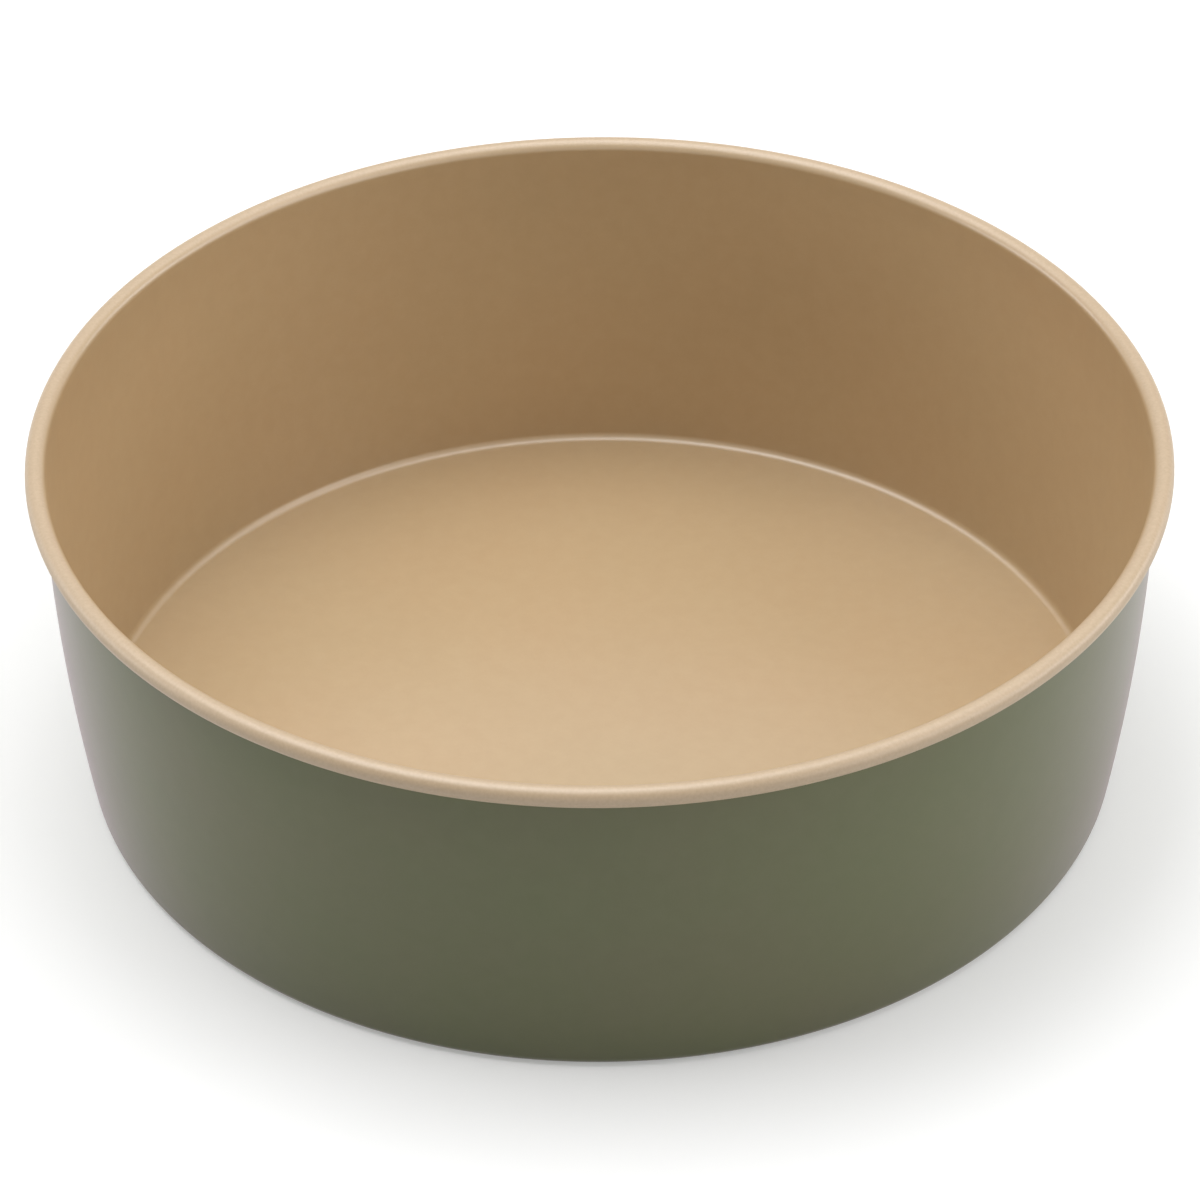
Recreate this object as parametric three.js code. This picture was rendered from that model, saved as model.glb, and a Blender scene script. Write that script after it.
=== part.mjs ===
// A round cake pan: one drawn sheet with its edge curled outwards round a wire,
// and a baked film on each face of the sheet.
// Millimetres, +Z up. The underside lies on Z = 0 and the pan's axis is the Z axis.
import * as THREE from "three";

// Sizes of the pan
const MOUTH_DIAMETER = 202.4; // clear width between the inner sides of the bead
const HEIGHT = 68.1; // underside to the top of the bead
const SIDE_LEAN = 5.35; // how far the side draws in from the bead to the floor, on the radius
const CORNER_RADIUS = 1.8; // between floor and side, on the food side
const SHEET_THICKNESS = 0.6;
const INNER_FILM = 0.1; // food-side film, which the curl also turns to the outside of the bead
const OUTER_FILM = 0.1; // film on the outside, which the curl also wraps round the wire
const LAYER_GAP = 0.004; // hair's breadth that keeps each film's solid off the sheet's
const WIRE_DIAMETER = 2;
const WIRE_CLEARANCE = 0.1; // between the wire and the film around it
const CURL_GAP = 0.25; // between the cut edge of the curl and the side

// Steps that each curve is drawn with
const TURN_STEPS = 52;
const CORNER_STEPS = 3;
const SIDE_STEPS = 4;
const CURL_STEPS = 10;
const WIRE_STEPS = 8;

// Depths of the layers' faces, counted outwards from the food-side surface
const SHEET_INNER_DEPTH = INNER_FILM + LAYER_GAP;
const SHEET_OUTER_DEPTH = SHEET_INNER_DEPTH + SHEET_THICKNESS;
const OUTER_FILM_DEPTH = SHEET_OUTER_DEPTH + LAYER_GAP;
const FULL_DEPTH = OUTER_FILM_DEPTH + OUTER_FILM;

// The bead is as large as the wire and the layers round it make it.
const BEAD_RADIUS = WIRE_DIAMETER / 2 + WIRE_CLEARANCE + FULL_DEPTH;
const BEAD_CENTRE = new THREE.Vector2(MOUTH_DIAMETER / 2 + BEAD_RADIUS, HEIGHT - BEAD_RADIUS);

// The side is one shallow arc that stands upright where it enters the bead.
const FLOOR_TOP = FULL_DEPTH;
const SIDE_RISE = BEAD_CENTRE.y - FLOOR_TOP;
const SIDE_RADIUS = (SIDE_LEAN ** 2 + SIDE_RISE ** 2) / (2 * SIDE_LEAN);
const SIDE_CENTRE = new THREE.Vector2(MOUTH_DIAMETER / 2 - SIDE_RADIUS, BEAD_CENTRE.y);

// The corner arc runs smoothly from the flat floor into the side.
const CORNER_DROP = SIDE_RISE - CORNER_RADIUS;
const CORNER_REACH = Math.sqrt((SIDE_RADIUS - CORNER_RADIUS) ** 2 - CORNER_DROP ** 2);
const CORNER_CENTRE = new THREE.Vector2(SIDE_CENTRE.x + CORNER_REACH, FLOOR_TOP + CORNER_RADIUS);
const CORNER_END = -Math.atan2(CORNER_DROP, CORNER_REACH);

// The curl stops where the bead's surface comes within its gap of the side.
const CURL_START = Math.PI;
const CURL_END = -Math.acos((FULL_DEPTH + CURL_GAP - BEAD_RADIUS) / BEAD_RADIUS);

function arcPoints(centre, radius, from, to, steps) {
  const points = [];
  for (let i = 0; i <= steps; i++) {
    const angle = from + ((to - from) * i) / steps;
    points.push(
      new THREE.Vector2(
        centre.x + radius * Math.cos(angle),
        centre.y + radius * Math.sin(angle),
      ),
    );
  }
  return points;
}

// Half section of the surface at one depth in the sheet, from the axis to the curl's cut edge.
function surfaceAt(depth) {
  const corner = arcPoints(
    CORNER_CENTRE,
    CORNER_RADIUS + depth,
    -Math.PI / 2,
    CORNER_END,
    CORNER_STEPS,
  );
  const side = arcPoints(SIDE_CENTRE, SIDE_RADIUS + depth, CORNER_END, 0, SIDE_STEPS);
  const curl = arcPoints(BEAD_CENTRE, BEAD_RADIUS - depth, CURL_START, CURL_END, CURL_STEPS);
  const floorCentre = new THREE.Vector2(0, FLOOR_TOP - depth);
  return [floorCentre, ...corner, ...side.slice(1), ...curl.slice(1)];
}

// A solid of revolution about Z from a half section given as radius and height.
function turned(name, section, material) {
  const geometry = new THREE.LatheGeometry(section, TURN_STEPS);
  geometry.rotateX(Math.PI / 2);
  const mesh = new THREE.Mesh(geometry, material);
  mesh.name = name;
  return mesh;
}

// One layer of the sheet between two depths.
function layer(name, innerDepth, outerDepth, material) {
  const section = [...surfaceAt(outerDepth), ...surfaceAt(innerDepth).reverse()];
  return turned(name, section, material);
}

const steel = new THREE.MeshStandardMaterial({
  color: 0x8f8f8c,
  roughness: 0.45,
  metalness: 1,
});
const beigeFilm = new THREE.MeshStandardMaterial({
  color: 0xc4a67c,
  roughness: 0.42,
  metalness: 0.2,
});
const oliveFilm = new THREE.MeshStandardMaterial({
  color: 0x64664f,
  roughness: 0.45,
  metalness: 0.1,
});

const pan = new THREE.Group();
pan.name = "round_cake_pan";
pan.add(layer("steel_shell", SHEET_INNER_DEPTH, SHEET_OUTER_DEPTH, steel));
pan.add(layer("inner_coating", 0, INNER_FILM, beigeFilm));
pan.add(layer("outer_coating", OUTER_FILM_DEPTH, FULL_DEPTH, oliveFilm));

const wireSection = arcPoints(BEAD_CENTRE, WIRE_DIAMETER / 2, 0, 2 * Math.PI, WIRE_STEPS);
pan.add(turned("rim_wire", wireSection, steel));

export default pan;
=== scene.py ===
"""A round cake pan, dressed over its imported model: drawn sheet, rim wire and two baked films."""
import math

import bpy
from mathutils import Matrix, Vector


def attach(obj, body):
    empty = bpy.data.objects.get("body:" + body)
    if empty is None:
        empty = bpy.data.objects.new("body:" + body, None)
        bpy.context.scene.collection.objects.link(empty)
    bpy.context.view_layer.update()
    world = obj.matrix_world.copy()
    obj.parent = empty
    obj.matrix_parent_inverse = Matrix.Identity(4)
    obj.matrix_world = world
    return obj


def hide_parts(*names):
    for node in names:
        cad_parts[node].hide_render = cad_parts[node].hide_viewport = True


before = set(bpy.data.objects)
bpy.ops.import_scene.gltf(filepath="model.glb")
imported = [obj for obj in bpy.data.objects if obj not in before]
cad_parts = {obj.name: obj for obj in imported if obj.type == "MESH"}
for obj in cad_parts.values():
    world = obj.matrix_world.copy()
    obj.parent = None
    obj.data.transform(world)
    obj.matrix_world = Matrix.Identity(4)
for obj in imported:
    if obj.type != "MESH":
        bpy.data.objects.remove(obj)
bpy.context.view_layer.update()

MM = 0.001

# Sizes of the pan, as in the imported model
MOUTH_DIAMETER = 202.4 * MM
HEIGHT = 68.1 * MM
SIDE_LEAN = 5.35 * MM
CORNER_RADIUS = 1.8 * MM
SHEET_THICKNESS = 0.6 * MM
INNER_FILM = 0.1 * MM
OUTER_FILM = 0.1 * MM
LAYER_GAP = 0.004 * MM
WIRE_DIAMETER = 2.0 * MM
WIRE_CLEARANCE = 0.1 * MM
CURL_GAP = 0.25 * MM

# Steps that each curve is drawn with
TURN_STEPS = 240
CORNER_STEPS = 12
SIDE_STEPS = 24
CURL_STEPS = 36
WIRE_STEPS = 20

# Depths of the layers' faces, counted outwards from the food side
FOOD_SIDE_DEPTH = 0.0
SHEET_DEPTH = INNER_FILM + LAYER_GAP
OUTER_FILM_DEPTH = SHEET_DEPTH + SHEET_THICKNESS + LAYER_GAP
FULL_DEPTH = OUTER_FILM_DEPTH + OUTER_FILM

# The half section that every layer follows: floor, corner, side and curl
BEAD_RADIUS = WIRE_DIAMETER / 2 + WIRE_CLEARANCE + FULL_DEPTH
BEAD_CENTRE = (MOUTH_DIAMETER / 2 + BEAD_RADIUS, HEIGHT - BEAD_RADIUS)
FLOOR_TOP = FULL_DEPTH
SIDE_RISE = BEAD_CENTRE[1] - FLOOR_TOP
SIDE_RADIUS = (SIDE_LEAN ** 2 + SIDE_RISE ** 2) / (2 * SIDE_LEAN)
SIDE_CENTRE = (MOUTH_DIAMETER / 2 - SIDE_RADIUS, BEAD_CENTRE[1])
CORNER_DROP = SIDE_RISE - CORNER_RADIUS
CORNER_REACH = math.sqrt((SIDE_RADIUS - CORNER_RADIUS) ** 2 - CORNER_DROP ** 2)
CORNER_CENTRE = (SIDE_CENTRE[0] + CORNER_REACH, FLOOR_TOP + CORNER_RADIUS)
CORNER_END = -math.atan2(CORNER_DROP, CORNER_REACH)
CURL_END = -math.acos((FULL_DEPTH + CURL_GAP - BEAD_RADIUS) / BEAD_RADIUS)

# Edges flatter than this are shaded smooth, and points closer than this are one point.
SMOOTH_ANGLE = math.radians(35)
MERGE_DISTANCE = 0.002 * MM

# The films' finish
BEAD_BLEND = 1.0 * MM  # how far out from the mouth the bead takes on its greyer tone, which is painted sheen, and its dullness
GRAIN_HEIGHT = 0.03 * MM
AXIS_GUARD = 0.01 * MM  # keeps the way round the axis finite on the axis itself
NOISE_MIDDLE = 0.5  # the value that a noise lies about

# Sockets of a Mix node that mixes colours
MIX_FACTOR, MIX_FIRST, MIX_SECOND, MIX_RESULT = 0, 6, 7, 2

# The floor lies a hair below the pan, and its glow lifts only how it looks.
FLOOR_SIZE = 2.6
FLOOR_DROP = 0.02 * MM
FLOOR_PAPER = (0.75, 0.75, 0.75, 1)
FLOOR_GLOW = 0.3
WHITE = (1, 1, 1, 1)

# The lamps: name, place, width and height in metres, and power in watts. Each faces LAMP_AIM.
LAMP_AIM = Vector((0, 0, 30 * MM))
LAMPS = (
    ("top_softbox", (-0.1, 0.06, 1.63), (1.8, 1.6), 11.4),
    ("high_left_softbox", (-0.6, 0.2, 1.48), (1.35, 1.35), 14.2),
    ("high_right_softbox", (0.5, 0.35, 1.5), (1.35, 1.35), 8.4),
    ("left_strip", (-1.53, 0.27, 0.42), (1.3, 0.4), 6.4),
    ("right_strip", (1.53, 0.27, 0.42), (1.3, 0.4), 6.4),
    ("right_front_fill", (1.09, -1.09, 0.47), (0.5, 0.4), 2.1),
    ("right_key", (1.25, -0.48, 0.88), (0.8, 0.8), 4.6),
    ("back_softbox", (0.0, 1.19, 1.1), (1.2, 0.6), 0.8),
    ("front_fill", (0.0, -1.55, 0.32), (1.0, 0.4), 1.0),
)

# The photograph's view
CAMERA_LENS = 165.0
CAMERA_ELEVATION = math.radians(36.625)
CAMERA_ROLL = math.radians(-0.46)
CAMERA_DISTANCE = 1029.2 * MM
CAMERA_AIM = Vector((-0.112 * MM, 0, 30.803 * MM))


class Value:
    """A shader socket that takes part in Python expressions: each operation adds a Math node."""

    def __init__(self, socket):
        self.socket = socket
        self.tree = socket.id_data

    def maths(self, operation, *terms):
        node = self.tree.nodes.new("ShaderNodeMath")
        node.operation = operation
        for socket, term in zip(node.inputs, terms):
            feed(socket, term)
        return Value(node.outputs[0])

    def __add__(self, other):
        return self.maths("ADD", self, other)

    __radd__ = __add__

    def __sub__(self, other):
        return self.maths("SUBTRACT", self, other)

    def __rsub__(self, other):
        return self.maths("SUBTRACT", other, self)

    def __mul__(self, other):
        return self.maths("MULTIPLY", self, other)

    __rmul__ = __mul__

    def __truediv__(self, other):
        return self.maths("DIVIDE", self, other)

    def __rtruediv__(self, other):
        return self.maths("DIVIDE", other, self)

    def __pow__(self, other):
        return self.maths("POWER", self, other)

    def larger(self, other):
        return self.maths("MAXIMUM", self, other)

    def smaller(self, other):
        return self.maths("MINIMUM", self, other)

    def clamped(self):
        """The value held between 0 and 1."""
        return self.larger(0.0).smaller(1.0)


def feed(socket, value):
    """Links a value to a socket, or sets the socket to a plain number, colour or vector."""
    if isinstance(value, Value):
        value.tree.links.new(value.socket, socket)
    elif isinstance(value, bpy.types.NodeSocket):
        socket.id_data.links.new(value, socket)
    else:
        socket.default_value = value


class Finish:
    """The node tree of one material, or of the world."""

    def __init__(self, tree):
        self.tree = tree
        tree.nodes.clear()

    def node(self, kind, settings=None, inputs=None):
        """Adds a node with its settings, then the values or links of its sockets."""
        node = self.tree.nodes.new("ShaderNode" + kind)
        for name, setting in (settings or {}).items():
            setattr(node, name, setting)
        for name, value in (inputs or {}).items():
            feed(node.inputs[name], value)
        return node

    def place(self):
        """Where a point lies on the pan."""
        return self.node("TexCoord").outputs["Object"]

    def coordinates(self, place):
        """A place's X, Y and Z, and how far it is from the pan's axis."""
        split = self.node("SeparateXYZ", None, {"Vector": place})
        x, y, z = (Value(output) for output in split.outputs)
        return x, y, z, (x * x + y * y) ** 0.5

    def noise(self, vector, scale, detail):
        inputs = {"Vector": vector, "Scale": scale, "Detail": detail}
        return Value(self.node("TexNoise", None, inputs).outputs[0])

    def mix(self, factor, first, second):
        """A colour between two colours."""
        inputs = {MIX_FACTOR: factor, MIX_FIRST: first, MIX_SECOND: second}
        return Value(self.node("Mix", {"data_type": "RGBA"}, inputs).outputs[MIX_RESULT])

    def shown(self):
        """1 for a ray that shows what it meets, also mirrored or through glass, and else 0."""
        path = self.node("LightPath")
        rays = ("Is Camera Ray", "Is Glossy Ray", "Is Transmission Ray")
        straight, mirrored, through = (Value(path.outputs[name]) for name in rays)
        return straight.larger(mirrored).larger(through)


def linear(red, green, blue):
    """A colour given in the 0 to 255 steps of a picture, as the shader's own linear colour."""
    parts = [c / 255 for c in (red, green, blue)]
    parts = [c / 12.92 if c <= 0.04045 else ((c + 0.055) / 1.055) ** 2.4 for c in parts]
    return (*parts, 1.0)


def new_material(name):
    material = bpy.data.materials.new(name)
    material.use_nodes = True
    return material, Finish(material.node_tree)


def close_material(finish, shader):
    finish.node("OutputMaterial", None, {"Surface": shader.outputs[0]})


def close_film(finish, colour, roughness, grain, relief, constants):
    """Ends a film's nodes, with its grain as a slight relief and what is the same all over."""
    bump_inputs = {"Strength": relief, "Distance": GRAIN_HEIGHT, "Height": grain}
    bump = finish.node("Bump", None, bump_inputs)
    inputs = {"Base Color": colour, "Roughness": roughness, "Normal": bump.outputs[0]}
    close_material(finish, finish.node("BsdfPrincipled", None, {**inputs, **constants}))


def around_and_up(finish, place, turns, rises):
    """A vector that runs round the pan's axis and up its side, for marks left by the drawing."""
    x, y, z, reach = finish.coordinates(place)
    far = reach + AXIS_GUARD
    inputs = {"X": x / far * turns, "Y": y / far * turns, "Z": z * rises}
    return finish.node("CombineXYZ", None, inputs).outputs[0]


def bead_share(finish, place):
    """0 inside the pan, rising to 1 across the top of the bead, where the film gets a painted
    sheen tone and more dullness.
    """
    reach = finish.coordinates(place)[-1]
    return ((reach - MOUTH_DIAMETER / 2) / BEAD_BLEND).clamped()


def beige_non_stick():
    """Satin film on the food side: warm beige with blushes, drawing streaks, dapple and grain, and
    a painted sheen tone on the bead.
    """
    material, finish = new_material("beige_non_stick")
    place = finish.place()
    blush = finish.noise(place, scale=14.0, detail=2.0)
    drawing = around_and_up(finish, place, turns=26.0, rises=6.0)
    streaks = finish.noise(drawing, scale=1.0, detail=3.0)
    dapple = finish.noise(place, scale=320.0, detail=2.0)
    grain = finish.noise(place, scale=1800.0, detail=3.0)
    bead = bead_share(finish, place)
    warm = finish.mix(blush, linear(190, 159, 121), linear(183, 161, 124))
    tint = finish.mix(streaks * 0.12, warm, linear(171, 144, 105))
    flecks = grain * 0.12 + (dapple - NOISE_MIDDLE) * 0.3
    body = finish.mix(flecks, tint, linear(206, 186, 148))
    # The bead's greyer, less yellow tone is painted sheen; its grain flecks are the film's own.
    bead_tone_painted_sheen = finish.mix(grain, linear(172, 147, 115), linear(193, 169, 138))
    colour = finish.mix(bead, body, bead_tone_painted_sheen)
    roughness = 0.3 + bead * 0.1 + blush * 0.02 + grain * 0.03
    close_film(finish, colour, roughness, grain, relief=0.12, constants={"IOR": 1.8})
    return material


def olive_coat():
    """Satin film on the outside: grey olive green, mottled and grained, with a rosy sheen."""
    material, finish = new_material("olive_coat")
    place = finish.place()
    mottle = finish.noise(place, scale=30.0, detail=4.0)
    drawing = around_and_up(finish, place, turns=20.0, rises=5.0)
    streaks = finish.noise(drawing, scale=1.0, detail=3.0)
    dapple = finish.noise(place, scale=280.0, detail=2.0)
    grain = finish.noise(place, scale=1600.0, detail=3.0)
    ground = finish.mix(mottle, linear(95, 104, 64), linear(105, 101, 73))
    tint = finish.mix(streaks * 0.05, ground, linear(91, 96, 62))
    flecks = grain * 0.08 + (dapple - NOISE_MIDDLE) * 0.2
    colour = finish.mix(flecks, tint, linear(122, 121, 91))
    roughness = 0.26 + mottle * 0.03 + grain * 0.03
    constants = {
        "IOR": 1.42,
        "Sheen Weight": 0.2,
        "Sheen Roughness": 0.3,
        "Sheen Tint": (1.0, 0.5, 0.95, 1.0),
    }
    close_film(finish, colour, roughness, grain, relief=0.14, constants=constants)
    return material


def bare_steel(name, shade, dull):
    """Rolled or drawn steel with fine lines along the rim."""
    material, finish = new_material(name)
    along_rim = around_and_up(finish, finish.place(), turns=3.0, rises=9000.0)
    lines = finish.noise(along_rim, scale=1.0, detail=3.0)
    low = linear(shade - 14, shade - 14, shade - 15)
    high = linear(shade + 10, shade + 10, shade + 8)
    inputs = {
        "Base Color": finish.mix(lines, low, high),
        "Roughness": dull + lines * 0.14,
        "Metallic": 1.0,
    }
    close_material(finish, finish.node("BsdfPrincipled", None, inputs))
    return material


def deselect_all():
    if bpy.context.object and bpy.context.object.mode != "OBJECT":
        bpy.ops.object.mode_set(mode="OBJECT")
    bpy.ops.object.select_all(action="DESELECT")


def arc(centre, radius, start, end, steps):
    """Points of an arc as radius and height, without its first."""
    turns = [start + (end - start) * i / steps for i in range(1, steps + 1)]
    return [(centre[0] + radius * math.cos(a), centre[1] + radius * math.sin(a)) for a in turns]


def section_above_floor(depth):
    """Half section of the surface at one depth: corner, side and curl, from the floor's rim on."""
    corner = arc(CORNER_CENTRE, CORNER_RADIUS + depth, -math.pi / 2, CORNER_END, CORNER_STEPS)
    side = arc(SIDE_CENTRE, SIDE_RADIUS + depth, CORNER_END, 0, SIDE_STEPS)
    curl = arc(BEAD_CENTRE, BEAD_RADIUS - depth, math.pi, CURL_END, CURL_STEPS)
    return corner + side + curl


def select_rim():
    """Selects the open edge of the mesh that is being edited."""
    bpy.ops.mesh.select_mode(type="EDGE")
    bpy.ops.mesh.select_all(action="DESELECT")
    bpy.ops.mesh.select_non_manifold()


def close_mesh():
    """Turns all faces outwards and leaves the mesh in place, unturned and unscaled."""
    bpy.ops.mesh.select_all(action="SELECT")
    bpy.ops.mesh.normals_make_consistent(inside=False)
    bpy.ops.object.mode_set(mode="OBJECT")
    bpy.ops.object.transform_apply(location=True, rotation=True, scale=True)


def draw_up(name, depth):
    """Draws a flat blank up into the pan.

    Its rim is extruded round the corner, up the side and round the curl.
    """
    deselect_all()
    reach, height = CORNER_CENTRE[0], FLOOR_TOP - depth
    bpy.ops.mesh.primitive_circle_add(
        vertices=TURN_STEPS, radius=reach, fill_type="TRIFAN", location=(0, 0, height)
    )
    piece = bpy.context.object
    piece.name = name
    bpy.ops.object.mode_set(mode="EDIT")
    select_rim()
    for radius, level in section_above_floor(depth):
        bpy.ops.mesh.extrude_region_move(TRANSFORM_OT_translate={"value": (0, 0, level - height)})
        ratio = radius / reach
        bpy.ops.transform.resize(value=(ratio, ratio, 1), center_override=(0, 0, level))
        reach, height = radius, level
    close_mesh()
    return piece


def thicken(piece, thickness):
    """Gives the drawn surface its thickness, away from the food side."""
    solid = piece.modifiers.new("thickness", "SOLIDIFY")
    solid.thickness = thickness
    solid.offset = -1.0
    solid.use_even_offset = True
    solid.use_rim = True
    bpy.ops.object.modifier_apply(modifier=solid.name)


def finish_piece(piece, material, node):
    piece.data.materials.clear()
    piece.data.materials.append(material)
    bpy.context.view_layer.objects.active = piece
    piece.select_set(True)
    bpy.ops.object.shade_smooth_by_angle(angle=SMOOTH_ANGLE)
    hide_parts(node)
    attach(piece, "root")


def make_layer(name, depth, thickness, material, node):
    piece = draw_up(name, depth)
    thicken(piece, thickness)
    finish_piece(piece, material, node)


def make_wire(name, material, node):
    """A round wire turned into a ring inside the curl."""
    deselect_all()
    bpy.ops.mesh.primitive_circle_add(
        vertices=WIRE_STEPS,
        radius=WIRE_DIAMETER / 2,
        location=(BEAD_CENTRE[0], 0, BEAD_CENTRE[1]),
        rotation=(math.pi / 2, 0, 0),
    )
    piece = bpy.context.object
    piece.name = name
    bpy.ops.object.mode_set(mode="EDIT")
    bpy.ops.mesh.select_all(action="SELECT")
    bpy.ops.mesh.spin(steps=TURN_STEPS, angle=2 * math.pi, center=(0, 0, 0), axis=(0, 0, 1))
    bpy.ops.mesh.select_all(action="SELECT")
    bpy.ops.mesh.remove_doubles(threshold=MERGE_DISTANCE)
    close_mesh()
    finish_piece(piece, material, node)


def make_pan():
    beige, olive = beige_non_stick(), olive_coat()
    sheet, wire = bare_steel("rolled_steel", 150, 0.34), bare_steel("drawn_wire", 140, 0.4)
    make_layer(
        "food_side_film", FOOD_SIDE_DEPTH, INNER_FILM, beige, "inner_coating"
    )
    make_layer(
        "outside_film", OUTER_FILM_DEPTH, OUTER_FILM, olive, "outer_coating"
    )
    make_layer("drawn_sheet", SHEET_DEPTH, SHEET_THICKNESS, sheet, "steel_shell")
    make_wire("curl_wire", wire, "rim_wire")


def make_floor():
    """A white sweep that keeps the pan's soft shadow."""
    deselect_all()
    bpy.ops.mesh.primitive_plane_add(size=FLOOR_SIZE, location=(0, 0, -FLOOR_DROP))
    floor = bpy.context.object
    floor.name = "white_floor"
    bpy.ops.object.transform_apply(location=True)
    material, finish = new_material("white_floor")
    paper = finish.node("BsdfDiffuse", None, {"Color": FLOOR_PAPER})
    glow = finish.node("Emission", None, {"Color": WHITE, "Strength": FLOOR_GLOW})
    lit = finish.node("AddShader", None, {0: paper.outputs[0], 1: glow.outputs[0]})
    inputs = {0: finish.shown(), 1: paper.outputs[0], 2: lit.outputs[0]}
    close_material(finish, finish.node("MixShader", None, inputs))
    floor.data.materials.append(material)


def make_lamp(name, place, size, power):
    lamp = bpy.data.lights.new(name, "AREA")
    lamp.shape = "RECTANGLE"
    lamp.size, lamp.size_y = size
    lamp.energy = power
    holder = bpy.data.objects.new(name, lamp)
    holder.location = place
    holder.rotation_euler = (LAMP_AIM - Vector(place)).to_track_quat("-Z", "Y").to_euler()
    holder.visible_camera = False
    bpy.context.scene.collection.objects.link(holder)


def light_studio():
    """Hangs the lamps in a room that looks white and lights nothing by itself."""
    for lamp in LAMPS:
        make_lamp(*lamp)
    world = bpy.data.worlds.new("white_studio")
    world.use_nodes = True
    bpy.context.scene.world = world
    finish = Finish(world.node_tree)
    backdrop = finish.node("Background", None, {"Color": WHITE, "Strength": finish.shown()})
    finish.node("OutputWorld", None, {"Surface": backdrop.outputs[0]})


def place_camera():
    """Sets the camera at the photograph's angle, distance and slight roll."""
    back = Vector((0, -math.cos(CAMERA_ELEVATION), math.sin(CAMERA_ELEVATION)))
    right = Vector((1, 0, 0))
    up = back.cross(right)
    turned_right = math.cos(CAMERA_ROLL) * right + math.sin(CAMERA_ROLL) * up
    turned_up = math.cos(CAMERA_ROLL) * up - math.sin(CAMERA_ROLL) * right
    lens = bpy.data.cameras.new("view")
    lens.lens = CAMERA_LENS
    camera = bpy.data.objects.new("view", lens)
    turn = Matrix((turned_right, turned_up, back)).transposed().to_4x4()
    camera.matrix_world = Matrix.Translation(CAMERA_AIM + CAMERA_DISTANCE * back) @ turn
    bpy.context.scene.collection.objects.link(camera)
    bpy.context.scene.camera = camera


make_pan()
make_floor()
light_studio()
place_camera()
bpy.context.scene.view_settings.view_transform = "Standard"
